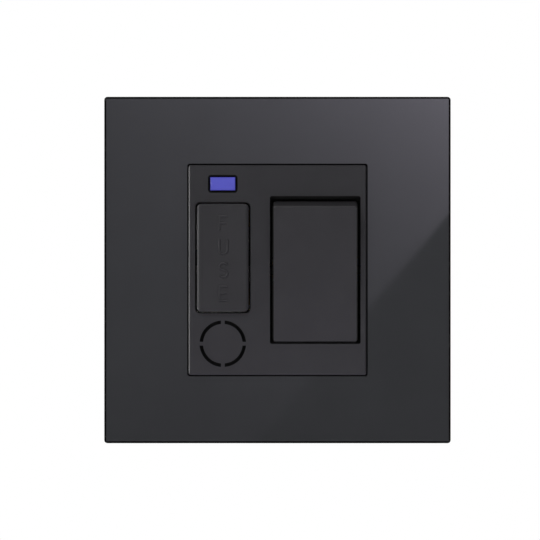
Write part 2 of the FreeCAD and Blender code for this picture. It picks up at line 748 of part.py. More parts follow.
def fuse_carrier():
    half_w = drawer_width / 2
    half_h = drawer_height / 2
    cup_rear = drawer_front + drawer_face_thickness + drawer_cup_depth
    x0, x1 = drawer_x - half_w, drawer_x + half_w
    outline = rounded_plate(drawer_x, drawer_z, drawer_width, drawer_height, drawer_corner_radius,
                            drawer_front, cup_rear)
    nose = block(x0, x1, drawer_front, cup_rear, drawer_z - half_h, drawer_z + half_h)
    long_edges = []
    for edge in front_edges(nose, drawer_front):
        if edge.BoundBox.ZLength > drawer_width:
            long_edges.append(edge)
    cup = outline.common(nose.makeFillet(drawer_edge_radius, long_edges))
    cup = cup.cut(rounded_plate(drawer_x, drawer_z, drawer_width - 2 * drawer_wall,
                                drawer_height - 2 * drawer_wall, drawer_corner_radius / 2,
                                drawer_front + drawer_face_thickness, cup_rear + 1))
    plate_front = fuse_y + barrel_radius + saddle_clearance + 1.2
    plate_rear = plate_front + drawer_wall
    saddle_half = saddle_height / 2
    tail_half = drawer_lug_width / 2 + 1.6
    wall_half = half_h - drawer_wall_inset
    wall_profile = [(cup_rear - 1, drawer_z - wall_half), (plate_rear, drawer_z - wall_half),
                    (drawer_rear, drawer_z - tail_half), (drawer_rear, drawer_z + tail_half),
                    (plate_rear, drawer_z + wall_half), (cup_rear - 1, drawer_z + wall_half)]
    far_wall = side_prism(wall_profile, x1 - drawer_wall, x1)
    near_wall = block(x0, x0 + drawer_wall, plate_front, drawer_rear,
                      drawer_z - tail_half, drawer_z + tail_half)
    rear_plate = block(x0, x1, plate_front, plate_rear, drawer_z - saddle_half, drawer_z + saddle_half)
    pieces = [far_wall, near_wall, rear_plate]
    for side_sign in (-1, 1):
        z0, z1 = sorted((drawer_z + side_sign * saddle_half,
                         drawer_z + side_sign * (saddle_half - saddle_rib)))
        pieces.append(block(drawer_x - barrel_radius - 1.2, x1 - 0.1, cup_rear - 0.5, plate_front + 0.1,
                            z0, z1))
        lug_x0, lug_x1 = sorted((drawer_x + side_sign * (half_w - 0.1), drawer_x + side_sign * lug_reach))
        pieces.append(block(lug_x0, lug_x1, lug_front, drawer_rear,
                            drawer_z - drawer_lug_width / 2, drawer_z + drawer_lug_width / 2))
        pieces.append(block(drawer_x - barrel_radius - 1.2, x1 - 0.1,
                            drawer_front + drawer_face_thickness - 0.1, cup_rear, z0, z1))
    body = cup.multiFuse(pieces)
    seat = rod_z(drawer_x, fuse_y, barrel_radius + saddle_clearance,
                 drawer_z - saddle_half - 1, drawer_z + saddle_half + 1)
    mouth = block(x0 - 1, drawer_x, fuse_y - saddle_mouth / 2, fuse_y + saddle_mouth / 2,
                  drawer_z - saddle_half - 1, drawer_z + saddle_half + 1)
    return body.cut(seat).cut(mouth).removeSplitter()


def fuse_barrel():
    half = fuse_length / 2 - fuse_cap_wall
    return rod_z(drawer_x, fuse_y, barrel_radius, drawer_z - half, drawer_z + half)


def fuse_cap(side_sign):
    end = drawer_z + side_sign * fuse_length / 2
    mouth = end - side_sign * fuse_cap_length
    inner_end = end - side_sign * fuse_cap_wall
    z0, z1 = sorted((end, mouth))
    cap = rod_z(drawer_x, fuse_y, fuse_cap_radius, z0, z1)
    z0, z1 = sorted((inner_end, mouth - side_sign))
    return cap.cut(rod_z(drawer_x, fuse_y, barrel_radius, z0, z1))


def fuse_clip(z_middle):
    """Spring clip that stands on a strap and grips a fuse cap between two parallel jaws."""
    jaw = fuse_cap_radius + clip_clearance + clip_thickness / 2
    foot_y = strap_front - clip_thickness / 2
    shoulder_y = fuse_y + fuse_cap_radius + 1.6
    grip_y = fuse_y + fuse_cap_radius
    mouth_y = fuse_y - fuse_cap_radius + 0.4
    half_path = [(0, foot_y), (jaw + clip_spread, foot_y), (jaw + clip_spread, shoulder_y),
                 (jaw, grip_y), (jaw, mouth_y), (jaw + clip_lip, mouth_y - 1.7)]
    path = [(drawer_x - u, v) for u, v in half_path[:0:-1]] + [(drawer_x + u, v) for u, v in half_path[1:]]
    return plan_prism(ribbon(path, clip_thickness), z_middle - clip_width / 2, z_middle + clip_width / 2)


def rocker():
    half_w = rocker_width / 2
    skirt_y = rocker_face_y + rocker_skirt
    profile = [(rocker_face_y, -face_half), (rocker_face_y, face_half),
               (skirt_y, skirt_half), (skirt_y, -skirt_half)]
    body = side_prism(profile, rocker_x - half_w, rocker_x + half_w)
    corners = [e for e in body.Edges if e.BoundBox.YLength > rocker_skirt / 2]
    body = body.makeFillet(rocker_corner_radius, corners)
    body = body.makeChamfer(rocker_arris, front_edges(body, rocker_face_y))
    inner_y = rocker_face_y + rocker_front_wall
    inner_half = face_half + rocker_front_wall * math.tan(draft) - rocker_wall
    hollow = side_prism([(inner_y, -inner_half), (inner_y, inner_half),
                         (skirt_y + 1, skirt_half - rocker_wall + 0.1),
                         (skirt_y + 1, -skirt_half + rocker_wall - 0.1)],
                        rocker_x - half_w + rocker_wall, rocker_x + half_w - rocker_wall)
    body = body.cut(hollow)
    tube_half = plunger_radius + plunger_fit + tube_wall
    pieces = []
    for side_sign in (-1, 1):
        outer = rocker_x + side_sign * half_w
        x0, x1 = sorted((outer, outer - side_sign * rocker_wall))
        ear = side_prism([(skirt_y - 0.5, -ear_radius * 2), (skirt_y - 0.5, ear_radius * 2),
                          (pivot_y, ear_radius), (pivot_y, -ear_radius)], x0, x1)
        pieces.append(ear.fuse(rod_x(pivot_y, 0, ear_radius, x0, x1)))
        x0, x1 = sorted((outer - side_sign * 0.2, outer + side_sign * trunnion_length))
        pieces.append(rod_x(pivot_y, 0, trunnion_radius, x0, x1))
        pole_x = rocker_x + side_sign * pole_offset
        pieces.append(block(pole_x - tube_half, pole_x + tube_half, inner_y - 0.1, pivot_y + tube_reach,
                            -tube_half, tube_half))
    body = body.multiFuse(pieces)
    for side_sign in (-1, 1):
        pole_x = rocker_x + side_sign * pole_offset
        body = body.cut(rod_y(pole_x, 0, plunger_radius + plunger_fit, inner_y, pivot_y + tube_reach + 1))
    return on_rocker(body.removeSplitter())


def plunger(x):
    """Plunger with a stepped nose, guided in the rocker's tube."""
    tip = pivot_y + plunger_reach
    shoulder = tip - plunger_nose_length
    body = rod_y(x, 0, plunger_radius, pivot_y + plunger_tail, shoulder)
    return on_rocker(body.fuse(rod_y(x, 0, plunger_tip_radius, shoulder, tip)))


def plunger_spring(x):
    """Coil spring between the rocker's face and the plunger's tail."""
    start = rocker_face_y + rocker_front_wall
    length = pivot_y + plunger_tail - start
    mean_radius = plunger_radius - spring_wire / 2 - 0.05
    rise = length - spring_wire
    steps = spring_turns * spring_steps
    points = []
    for index in range(steps + 1):
        angle = 2 * math.pi * index / spring_steps
        points.append(Vector(mean_radius * math.cos(angle), mean_radius * math.sin(angle),
                             rise * index / steps))
    half = spring_wire / 2
    corners = [Vector(mean_radius - half, 0, -half), Vector(mean_radius + half, 0, -half),
               Vector(mean_radius + half, 0, half), Vector(mean_radius - half, 0, half)]
    section = Part.makePolygon(corners + [corners[0]])
    coil = Part.makePolygon(points).makePipeShell([section], True, False, MITRED)
    return on_rocker(laid_along(coil, Vector(x, start + half, 0), Y_AXIS))


def moving_contact(x):
    middle = seesaw_front + seesaw_thickness / 2
    path = [(middle - seesaw_turn_up, -seesaw_down), (middle, -seesaw_down + 1.3), (middle, seesaw_up)]
    strip = side_prism(ribbon(path, seesaw_thickness), x - seesaw_width / 2, x + seesaw_width / 2)
    ends = [e for e in strip.Edges if e.BoundBox.YLength > 0.5 and e.BoundBox.ZMax > seesaw_up - 0.01
            and e.BoundBox.ZLength < 0.1]
    return on_seesaw(strip.makeFillet(1.2, ends))


def moving_tip(x):
    return on_seesaw(few_sided_rod(x, tip_offset, tip_radius, fulcrum_y, fulcrum_y + tip_thickness))


def fixed_tip(x):
    face = fulcrum_y + tip_thickness + tip_gap
    return on_seesaw(few_sided_rod(x, tip_offset, tip_radius, face, face + tip_thickness))


def fixed_contact(x):
    """Strap from the supply terminal, cranked forward to a pad that meets the moving tip."""
    angle = math.radians(seesaw_tilt)
    pad_middle = 2 * tip_thickness + tip_gap + strap_thickness / 2
    floor_middle = floor_y - strap_thickness / 2

    def pad_point(z):
        return (fulcrum_y + pad_middle * math.cos(angle) + z * math.sin(angle),
                z * math.cos(angle) - pad_middle * math.sin(angle))

    pad_start = pad_point(tip_offset - tip_radius - 0.3)
    pad_end = pad_point(tip_offset + tip_radius + 0.6)
    path = [pad_start, pad_end, (floor_middle, pad_end[1] + 2.0), (floor_middle, strap_end)]
    return side_prism(ribbon(path, strap_thickness), x - seesaw_width / 2, x + seesaw_width / 2)


def cradle(x):
    """Fulcrum ridge and two side ears, standing on a plate, that carry a moving contact."""
    half_length = cradle_length / 2
    ridge_middle = fulcrum_y + fulcrum_gap + fulcrum_radius
    plate = block(x - cradle_half, x + cradle_half, strap_front, floor_y, -half_length, half_length)
    ridge = block(x - cradle_half, x + cradle_half, ridge_middle, strap_front + 0.1,
                  -fulcrum_radius, fulcrum_radius)
    crest = rod_x(ridge_middle, 0, fulcrum_radius, x - cradle_half, x + cradle_half)
    body = plate.multiFuse([ridge, crest])
    ear_front = seesaw_front - cradle_ear
    for side_sign in (-1, 1):
        x0, x1 = sorted((x + side_sign * cradle_half, x + side_sign * (cradle_half - cradle_wall)))
        ear = side_prism([(ear_front, -0.8), (ear_front, 0.8), (strap_front + 0.1, half_length),
                          (strap_front + 0.1, -half_length)], x0, x1)
        body = body.fuse(ear)
    return body


def clip_arm_edges(z_middle):
    return z_middle - clip_width / 2, z_middle + clip_width / 2


def live_fulcrum_strap():
    z0, z1 = clip_arm_edges(drawer_z + cap_middle)
    left = drawer_x - fuse_cap_radius - clip_spread
    arm = clip_width / 2
    outline = [(live_x - cradle_half + 0.5, -arm), (live_x - cradle_half + 0.5, arm), (feed_right, arm),
               (feed_right, z1), (left, z1), (left, z0), (feed_left, z0), (feed_left, -arm)]
    return cradle(live_x).fuse(face_prism(outline, strap_front, floor_y)).removeSplitter()


def neutral_fulcrum_strap():
    half = seesaw_width / 2
    run = block(neutral_x - half, neutral_x + half, strap_front, floor_y, -strap_end, 0)
    tag_z = neutral_tag_z()
    tag = block(neutral_x, bay_half_width - 0.4, strap_front, floor_y, tag_z - 1.2, tag_z + 1.2)
    return cradle(neutral_x).multiFuse([run, tag]).removeSplitter()


def load_live_strap():
    z0, z1 = clip_arm_edges(drawer_z - cap_middle)
    left = drawer_x - fuse_cap_radius - clip_spread
    half = seesaw_width / 2
    step = z0 - 0.5
    outline = [(left, z1), (feed_right, z1), (feed_right, step), (live_x + half, step),
               (live_x + half, -strap_end), (live_x - half, -strap_end), (live_x - half, step - 3.2),
               (feed_left, step - 3.2), (feed_left, z0), (left, z0)]
    return face_prism(outline, strap_front, floor_y)


def earth_strap():
    half = earth_strap_width / 2
    floor_middle = floor_y - strap_thickness / 2
    riser_z = yoke_window_height / 2 - earth_riser_inset
    foot_y = rim_y + strap_thickness / 2
    path = [(floor_middle, -strap_end), (floor_middle, riser_z), (foot_y, riser_z),
            (foot_y, yoke_window_height / 2 - earth_tongue_length)]
    strap = side_prism(ribbon(path, strap_thickness), rocker_x - half, rocker_x + half)
    return strap.cut(few_sided_rod(rocker_x, rivet_z(), rivet_radius,
                                   rim_y - 1, rim_y + strap_thickness + 1))


def earth_rivet():
    z = rivet_z()
    strap_rear = rim_y + strap_thickness
    shank = few_sided_rod(rocker_x, z, rivet_radius, yoke_front, strap_rear)
    heads = [few_sided_rod(rocker_x, z, rivet_head_radius, yoke_front - rivet_head, yoke_front),
             few_sided_rod(rocker_x, z, rivet_head_radius, strap_rear, strap_rear + rivet_head)]
    return shank.multiFuse(heads)


def terminal_places():
    """Name, x and row sign of each terminal: the supply row is at the top."""
    places = []
    for row, row_sign in (("supply", 1), ("load", -1)):
        for pole, x in (("live", live_x), ("earth", rocker_x), ("neutral", neutral_x)):
            places.append((row + "_" + pole + "_terminal", x, row_sign))
    return places


def terminal(x, row_sign):
    """Brass block with a wire bore up Z and a screw hole from the rear."""
    half = terminal_width / 2
    z0, z1 = sorted((row_sign * terminal_inner, row_sign * terminal_outer))
    rear = floor_y + terminal_depth
    body = block(x - half, x + half, floor_y, rear, z0, z1)
    body = body.cut(rod_z(x, bore_y, terminal_bore_radius, z0 - 1, z1 + 1))
    return body.cut(few_sided_rod(x, row_sign * terminal_z, terminal_screw_radius + screw_fit,
                                  bore_y, rear + 1))


def slotted(screw, x, z, y_end, radius):
    """Cut a driver slot across a screw's rear end."""
    half = screw_slot_width / 2
    return screw.cut(block(x - radius - 1, x + radius + 1, y_end - screw_slot_depth, y_end + 1,
                           z - half, z + half))


def terminal_screws():
    solids = []
    for name, x, row_sign in terminal_places():
        z = row_sign * terminal_z
        start = bore_y + terminal_bore_radius + terminal_screw_lift
        rear = base_rear - 0.2
        screw = few_sided_rod(x, z, terminal_screw_radius, start, rear)
        solids.append(slotted(screw, x, z, rear, terminal_screw_radius))
    return Part.makeCompound(solids)


def head_screw(x, z, shank_radius, shank_tip, seat, head_radius, head_height):
    """Screw driven from the rear: shank, cheese head and driver slot."""
    shank = few_sided_rod(x, z, shank_radius, shank_tip, seat + 0.1)
    head = few_sided_rod(x, z, head_radius, seat, seat + head_height)
    return slotted(shank.fuse(head), x, z, seat + head_height, head_radius)


def cover_screws():
    solids = []
    for side_sign in (1, -1):
        solids.append(head_screw(cover_screw_x, side_sign * cover_screw_z, cover_screw_radius,
                                 yoke_front - cover_screw_grip, floor_rear,
                                 cover_screw_head_radius, cover_screw_head))
    return Part.makeCompound(solids)


def clamp_places():
    return [drawer_x - clamp_screw_pitch / 2, drawer_x + clamp_screw_pitch / 2]


def cord_clamp():
    half = clamp_screw_pitch / 2 + clamp_boss_radius + 0.3
    arch_half = clamp_screw_pitch / 2 - clamp_boss_radius
    front_left = Vector(drawer_x - arch_half, clamp_front, clamp_z - clamp_width / 2)
    front_right = Vector(drawer_x + arch_half, clamp_front, front_left.z)
    crown = Vector(drawer_x, clamp_front + clamp_arch, front_left.z)
    corners = [front_right, Vector(drawer_x + half, clamp_front, front_left.z),
               Vector(drawer_x + half, clamp_rear, front_left.z),
               Vector(drawer_x - half, clamp_rear, front_left.z),
               Vector(drawer_x - half, clamp_front, front_left.z), front_left]
    edges = [Part.makeLine(a, b) for a, b in zip(corners, corners[1:])]
    edges.append(Part.Arc(front_left, crown, front_right).toShape())
    bar = Part.Face(Part.Wire(edges)).extrude(Vector(0, 0, clamp_width))
    for x in clamp_places():
        bar = bar.cut(few_sided_rod(x, clamp_z, clamp_hole_radius, clamp_front - 1, clamp_rear + 1))
    return bar


def cord_clamp_screws():
    solids = []
    for x in clamp_places():
        solids.append(head_screw(x, clamp_z, clamp_screw_radius, floor_rear + 0.8, clamp_rear,
                                 clamp_head_radius, clamp_head))
    return Part.makeCompound(solids)


def base():
    tub = rounded_plate(0, 0, base_width, base_height, base_corner_radius, rim_y, floor_rear)
    hollow = rounded_plate(0, 0, 2 * bay_half_width, 2 * bay_half_height, base_corner_radius - 1.2,
                           rim_y - 1, floor_y)
    body = tub.cut(hollow)
    additions = []
    for row_sign in (-1, 1):
        z0, z1 = sorted((row_sign * housing_inner, row_sign * base_height / 2))
        additions.append(rounded_plate((housing_left + housing_right) / 2, (z0 + z1) / 2,
                                       housing_right - housing_left, z1 - z0, 1.2, floor_y, base_rear))
        additions.append(few_sided_rod(cover_screw_x, row_sign * cover_screw_z, screw_boss_radius,
                                       yoke_front, floor_rear))
        x = rocker_x + row_sign * barrier_offset
        additions.append(block(x - barrier_thickness / 2, x + barrier_thickness / 2,
                               floor_y - barrier_height, floor_y + 0.1, -housing_inner, housing_inner))
    chamber_wall = block(chamber_right, chamber_right + guide_wall, rim_y, floor_y + 0.1,
                         -bay_half_height - 0.1, chamber_top + guide_wall)
    chamber_roof = block(-bay_half_width - 0.1, chamber_right + guide_wall, rim_y, floor_y + 0.1,
                         chamber_top, chamber_top + guide_wall)
    chamber_sill = block(-bay_half_width - 0.1, chamber_right + guide_wall, rim_y, floor_y + 0.1,
                         chamber_bottom - guide_wall, chamber_bottom)
    chamber_side = block(-bay_half_width - 0.1, chamber_left, rim_y, floor_y + 0.1,
                         chamber_bottom - guide_wall, chamber_top + guide_wall)
    additions.extend([chamber_wall, chamber_roof, chamber_sill, chamber_side])
    additions.extend(board_ledges())
    for x in clamp_places():
        additions.append(few_sided_rod(x, clamp_z, clamp_boss_radius, floor_rear - 0.1, clamp_front))
    body = body.multiFuse(additions)
    cuts = [lug_slots(drawer_rear + 0.4)]
    cuts.append(block(-bay_half_width, chamber_right, rim_y - 1, floor_rear + 1,
                      -bay_half_height, chamber_bottom - guide_wall))
    for z_middle in (drawer_z + cap_middle, drawer_z - cap_middle):
        z0, z1 = clip_arm_edges(z_middle)
        cuts.append(block(chamber_right - 0.1, chamber_right + guide_wall + 0.1, strap_front - strap_gap,
                          floor_y, z0 - strap_gap, z1 + strap_gap))
    for name, x, row_sign in terminal_places():
        cuts.extend(terminal_pocket(x, row_sign))
    for row_sign in (-1, 1):
        cuts.append(few_sided_rod(cover_screw_x, row_sign * cover_screw_z, cover_hole_radius,
                                  yoke_front - 1, floor_rear + 1))
    for x in clamp_places():
        cuts.append(few_sided_rod(x, clamp_z, clamp_screw_radius + screw_fit,
                                  floor_rear + 0.5, clamp_front + 1))
    for side_sign, z in ((1, hook_z), (1, -hook_z), (-1, hook_z)):
        x0, x1 = sorted((side_sign * (bay_half_width - 0.1), side_sign * (base_width / 2 + 1)))
        half = hook_width / 2 + hook_clearance
        cuts.append(block(x0, x1, hook_reach - hook_barb_length - 0.05, hook_reach + 0.4,
                          z - half, z + half))
    for cutter in cuts:
        body = body.cut(cutter)
    return body.removeSplitter()


def board_ledges():
    """Two ribs in the base that carry the indicator's board."""
    left, right, bottom, top = board_edges()
    wall_z = bay_half_height + 0.1
    return [block(left, left + 1.2, board_rear, floor_y + 0.1, chamber_top, wall_z),
            block(right - 1.2, right, board_rear, floor_y + 0.1, link_run_z + 2.2, wall_z)]


def terminal_pocket(x, row_sign):
    """Pocket for one terminal, with its square wire entry and its driver opening."""
    half = terminal_width / 2 + pocket_clearance
    z0, z1 = sorted((row_sign * (terminal_inner - pocket_clearance),
                     row_sign * (terminal_outer + pocket_clearance)))
    rear = floor_y + terminal_depth + pocket_clearance
    pocket = block(x - half, x + half, floor_y - 0.1, rear, z0, z1)
    screw_z = row_sign * terminal_z
    driver = block(x - driver_opening_half, x + driver_opening_half, rear - 0.1, base_rear + 1,
                   screw_z - driver_opening_half, screw_z + driver_opening_half)
    z0, z1 = sorted((row_sign * terminal_outer, row_sign * (base_height / 2 + 1)))
    entry = block(x - wire_entry_half, x + wire_entry_half,
                  bore_y - wire_entry_half, bore_y + wire_entry_half, z0, z1)
    return [pocket, driver, entry]


def build_nodes():
    nodes = {
        "front_panel": front_panel(),
        "cover_frame": cover_frame(),
        "mounting_yoke": mounting_yoke(),
        "centre_plate": centre_plate(),
        "base": base(),
        "indicator_lens": indicator_lens(),
        "indicator_led": indicator_led(),
        "indicator_board": indicator_board(),
        "indicator_resistor": indicator_resistor(),
        "indicator_live_wire": indicator_live_wire(),
        "indicator_neutral_wire": indicator_neutral_wire(),
        "fuse_carrier": fuse_carrier(),
        "fuse_barrel": fuse_barrel(),
        "fuse_cap_upper": fuse_cap(1),
        "fuse_cap_lower": fuse_cap(-1),
        "fuse_clip_upper": fuse_clip(drawer_z + cap_middle),
        "fuse_clip_lower": fuse_clip(drawer_z - cap_middle),
        "rocker": rocker(),
        "live_fulcrum_strap": live_fulcrum_strap(),
        "neutral_fulcrum_strap": neutral_fulcrum_strap(),
        "load_live_strap": load_live_strap(),
        "earth_strap": earth_strap(),
        "earth_rivet": earth_rivet(),
        "terminal_screws": terminal_screws(),
        "cord_clamp": cord_clamp(),
        "cord_clamp_screws": cord_clamp_screws(),
        "cover_screws": cover_screws(),
    }
    for pole, x in (("live", live_x), ("neutral", neutral_x)):
        nodes[pole + "_plunger"] = plunger(x)
        nodes[pole + "_plunger_spring"] = plunger_spring(x)
        nodes[pole + "_moving_contact"] = moving_contact(x)
        nodes[pole + "_moving_tip"] = moving_tip(x)
        nodes[pole + "_fixed_contact"] = fixed_contact(x)
        nodes[pole + "_fixed_tip"] = fixed_tip(x)
    for name, x, row_sign in terminal_places():
        nodes[name] = terminal(x, row_sign)
    return nodes


os.makedirs("parts", exist_ok=True)
for node_name, node_shape in build_nodes().items():
    node_shape.exportStep("parts/" + node_name + ".step")
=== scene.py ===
import bpy
import json
import math
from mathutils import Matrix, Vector

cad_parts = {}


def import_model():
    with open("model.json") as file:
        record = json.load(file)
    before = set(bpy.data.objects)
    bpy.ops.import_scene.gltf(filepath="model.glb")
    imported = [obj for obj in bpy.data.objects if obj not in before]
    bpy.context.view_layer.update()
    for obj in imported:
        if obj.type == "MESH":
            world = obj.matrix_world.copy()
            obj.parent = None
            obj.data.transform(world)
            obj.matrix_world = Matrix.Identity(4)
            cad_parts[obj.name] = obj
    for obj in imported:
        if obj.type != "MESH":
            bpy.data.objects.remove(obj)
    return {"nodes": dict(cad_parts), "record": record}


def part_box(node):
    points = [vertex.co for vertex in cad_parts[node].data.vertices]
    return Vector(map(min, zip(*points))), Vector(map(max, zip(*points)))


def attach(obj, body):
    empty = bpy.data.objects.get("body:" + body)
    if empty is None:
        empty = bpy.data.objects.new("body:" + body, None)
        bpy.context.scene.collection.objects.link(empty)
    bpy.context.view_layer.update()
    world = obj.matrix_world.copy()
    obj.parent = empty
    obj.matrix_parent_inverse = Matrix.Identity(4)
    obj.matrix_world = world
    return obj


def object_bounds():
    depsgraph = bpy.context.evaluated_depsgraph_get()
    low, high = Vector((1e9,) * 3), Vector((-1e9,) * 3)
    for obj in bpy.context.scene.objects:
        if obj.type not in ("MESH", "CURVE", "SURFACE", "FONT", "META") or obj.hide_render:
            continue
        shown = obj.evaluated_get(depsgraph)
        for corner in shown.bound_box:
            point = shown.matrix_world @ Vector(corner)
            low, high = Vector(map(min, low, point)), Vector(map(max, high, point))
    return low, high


# Fused spur unit, in metres, in the CAD model's frame: X right, Y into the wall, Z up.

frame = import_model()
cad_low, cad_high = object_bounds()
nodes = frame["nodes"]
slot_of = {row["node"]: row["material_slot"] for row in frame["record"]["subparts"]}

MM = 0.001
WHITE = (1, 1, 1, 1)
BLACK = (0, 0, 0, 1)

# Camera
VIEW_WIDTH = 134.08 * MM
VIEW_CENTRE_X = -1.852 * MM
CAMERA_DISTANCE = 0.40
CLIP_NEAR = 0.01
CLIP_FAR = 10.0

# Small rounds on the moulded and ground edges that turn by more than ROUND_FROM_ANGLE degrees
EDGE_ROUNDS = {
    "front_panel": 0.12 * MM,
    "centre_plate": 0.10 * MM,
    "rocker": 0.18 * MM,
    "fuse_carrier": 0.08 * MM,
    "indicator_lens": 0.08 * MM,
}
ROUND_SEGMENTS = 2
ROUND_FROM_ANGLE = 32

# Letters on the drawer's face
WORD = "FUSE"
LETTER_HEIGHT = 4.2 * MM
LETTER_WIDTH = 2.66 * MM
LETTER_STROKE = 0.66 * MM
LETTER_PITCH = 5.80 * MM
LETTER_RAISE = 0.30 * MM
WORD_TOP_Z = 11.6 * MM
WORD_OFFSET_X = 0.15 * MM
STROKE_ROUNDNESS = 3
ARC_STEPS = 10

# How a finish varies: the stretch of the noise that its tone and its gloss follow, how much
# finer the gloss drifts than the tone, and the depth and detail of the grain
TONE_STRETCH = (0.35, 0.65)
GLOSS_STRETCH = (0.3, 0.7)
GLOSS_FINENESS = 2.3
DRIFT_DETAIL = 3.0
GRAIN_DETAIL = 2.0
GRAIN_DEPTH = 0.02 * MM

# Finishes that need no more than surface(). Each row: colour, drift of the colour, roughness,
# drift of the roughness, scale of the drifts, scale of the grain, strength of the grain, and
# 1 at the end for a metal
PLAIN_FINISHES = {
    "frame_plastic": ((0.020, 0.020, 0.022), 0.10, 0.42, 0.05, 120, 3500, 0.3),
    "zinc_steel": ((0.62, 0.63, 0.62), 0.08, 0.34, 0.07, 160, 2500, 0.2, 1.0),
    "base_plastic": ((0.78, 0.77, 0.74), 0.03, 0.46, 0.05, 100, 3500, 0.25),
    "circuit_board": ((0.05, 0.16, 0.07), 0.12, 0.45, 0.06, 300, 5000, 0.2),
    "resistor_body": ((0.55, 0.40, 0.24), 0.06, 0.40, 0.05, 500, 5000, 0.2),
    "wire_brown": ((0.19, 0.09, 0.045), 0.07, 0.40, 0.05, 300, 4000, 0.2),
    "wire_blue": ((0.04, 0.13, 0.42), 0.07, 0.40, 0.05, 300, 4000, 0.2),
    "fuse_ceramic": ((0.83, 0.80, 0.73), 0.03, 0.38, 0.05, 250, 5000, 0.3),
    "nickel_plate": ((0.66, 0.64, 0.60), 0.05, 0.22, 0.05, 220, 4000, 0.1, 1.0),
    "spring_bronze": ((0.72, 0.50, 0.29), 0.07, 0.28, 0.05, 200, 4000, 0.1, 1.0),
    "plunger_plastic": ((0.74, 0.73, 0.69), 0.04, 0.44, 0.05, 200, 4000, 0.2),
    "spring_steel": ((0.50, 0.50, 0.51), 0.05, 0.25, 0.05, 300, 4000, 0.1, 1.0),
    "brass": ((0.76, 0.60, 0.30), 0.06, 0.28, 0.05, 160, 3500, 0.15, 1.0),
    "silver_contact": ((0.82, 0.81, 0.79), 0.04, 0.25, 0.05, 400, 4000, 0.1, 1.0),
    "terminal_brass": ((0.74, 0.57, 0.27), 0.07, 0.32, 0.06, 180, 3500, 0.2, 1.0),
    "screw_steel": ((0.58, 0.58, 0.58), 0.06, 0.28, 0.06, 250, 3500, 0.15, 1.0),
    "clamp_plastic": ((0.72, 0.71, 0.68), 0.04, 0.46, 0.05, 150, 3500, 0.25),
}

# The same rows for the finishes that get more, and for the floor
GLASS_FINISH = ((0.0285, 0.0292, 0.0318), 0.03, 0.030, 0.010, 60, 900, 0.0)
LENS_FINISH = ((0.050, 0.052, 0.335), 0.02, 0.30, 0.02, 300, 5000, 0.0)
RESIN_FINISH = ((0.55, 0.60, 0.90), 0.05, 0.12, 0.03, 400, 4000, 0.0)
PAPER_FINISH = ((0.83, 0.83, 0.83), 0.01, 0.80, 0.05, 6, 300, 0.0)
RESIN_CLEARNESS = 0.6

# The satin mouldings share one row, with a colour and a specular level for each
SATIN_FINISH = (0.05, 0.42, 0.03, 150, 6000, 0.25)
PLATE_SATIN = (0.0190, 0.0186, 0.0208)
PLATE_SPECULAR = 0.40
MOVING_SATIN = (0.0220, 0.0214, 0.0236)
MOVING_SPECULAR = 0.29
# The letters' colour is lighter than the drawer's, though they are the same plastic: painted light
# that makes the strokes look lit
LETTER_SATIN = (0.0265, 0.0258, 0.0284)
LETTER_SPECULAR = 0.13
COMMON_SPECULAR = 0.5

# Painted shade: zones that turn matt and dark where shade falls: the pane's edges, the plate's
# gaps and grooves, the rocker's side arrises and the lens's rim, with the tone of each
PANE_ARRIS = 0.47 * MM
PANE_SKIN = 0.12 * MM
PANE_EDGE_SHADE = 0.002
PLATE_SKIN = 0.40 * MM
PLATE_GROOVE_SHADE = 0.013
ROCKER_WIDTH = 21.1 * MM
ROCKER_ARRIS = 0.26 * MM
ROCKER_ARRIS_SHADE = 0.014
LENS_WIDTH = 6.4 * MM
LENS_HEIGHT = 3.5 * MM
LENS_RIM = 0.11 * MM
LENS_RIM_SHADE = 0.002
LENS_GLOW = 0.10
LENS_GLOW_COLOUR = (0.12, 0.12, 0.55, 1)

# The two colours that a Mix node of colours takes, and the one that it gives
MIX_FIRST = 6
MIX_SECOND = 7
MIX_RESULT = 2

# Floor
FLOOR_GAP = 0.3 * MM
FLOOR_HALF = 1.5
FLOOR_Z = cad_low[2] - FLOOR_GAP

# Dark boards round the front of the set. Its left side is open as far back as LEFT_BOARD_Y
BOARD_REACH = 0.35
BOARD_TOP = 0.50
BOARD_FRONT_Y = -0.47
BOARD_BACK_Y = 0.20
LEFT_BOARD_Y = 0.03
DARK = 0.0

# Cards on the floor in front: a bright one near the object, and a dim one before it
LOW_CARD_X = (-0.05, 0.16)
LOW_CARD_Y = (-0.12, 0.0)
LOW_CARD_Z = cad_low[2] - FLOOR_GAP / 2
LOW_CARD_LEVEL = 1.0
LOW_CARD_TINT = (1.0, 0.93, 1.16)
FRONT_FLOOR_Z = FLOOR_Z + FLOOR_GAP / 4
FRONT_FLOOR_LEVEL = 0.15

# Bright strips beyond the open left side. Each row: the two ends in X and Y, and the level
STRIPS = {
    "left_strip": ((-0.45, -0.24), (-0.45, 0.03), 9.0),
    "arris_strip": ((-0.449, -0.05), (-0.449, 0.04), 30.0),
}
STRIP_Z = (-12 * MM, 45 * MM)

# Soft-box seen in the pane: brightest at the pane's top right corner, cut off by a slanting edge
GLOW_CORNER = 43 * MM
GLOW_PEAK = 1.95
GLOW_TINT = (1.0, 0.94, 1.13)
GLOW_FADE_X = 46 * MM
GLOW_FADE_Z = 36 * MM
GLOW_LIMIT = 2.2
GLOW_EDGE_SLOPE = 1.185
GLOW_EDGE_X = 42.6 * MM
GLOW_EDGE_Z = 14.0 * MM
GLOW_BOARD_HALF = 60 * MM
GLOW_BOARD_Y = -0.46

# Lamps, with powers in watts, and the world
KEY_LAMP = {"place": (-0.30, -0.62, 0.75), "aim": (0, 0, 0),
            "width": 0.30, "height": 0.30, "power": 5.0}
LOW_LAMP = {"place": (0.05, -0.42, -0.02), "aim": (0, 0, -0.02),
            "width": 0.40, "height": 0.03, "power": 0.58}
WORLD_LEVEL = 0.25
SKY_LEVEL = 0.50
BACKDROP_LEVEL = 1.0


def box_centre(name):
    low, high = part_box(name)
    return (Vector(low) + Vector(high)) / 2


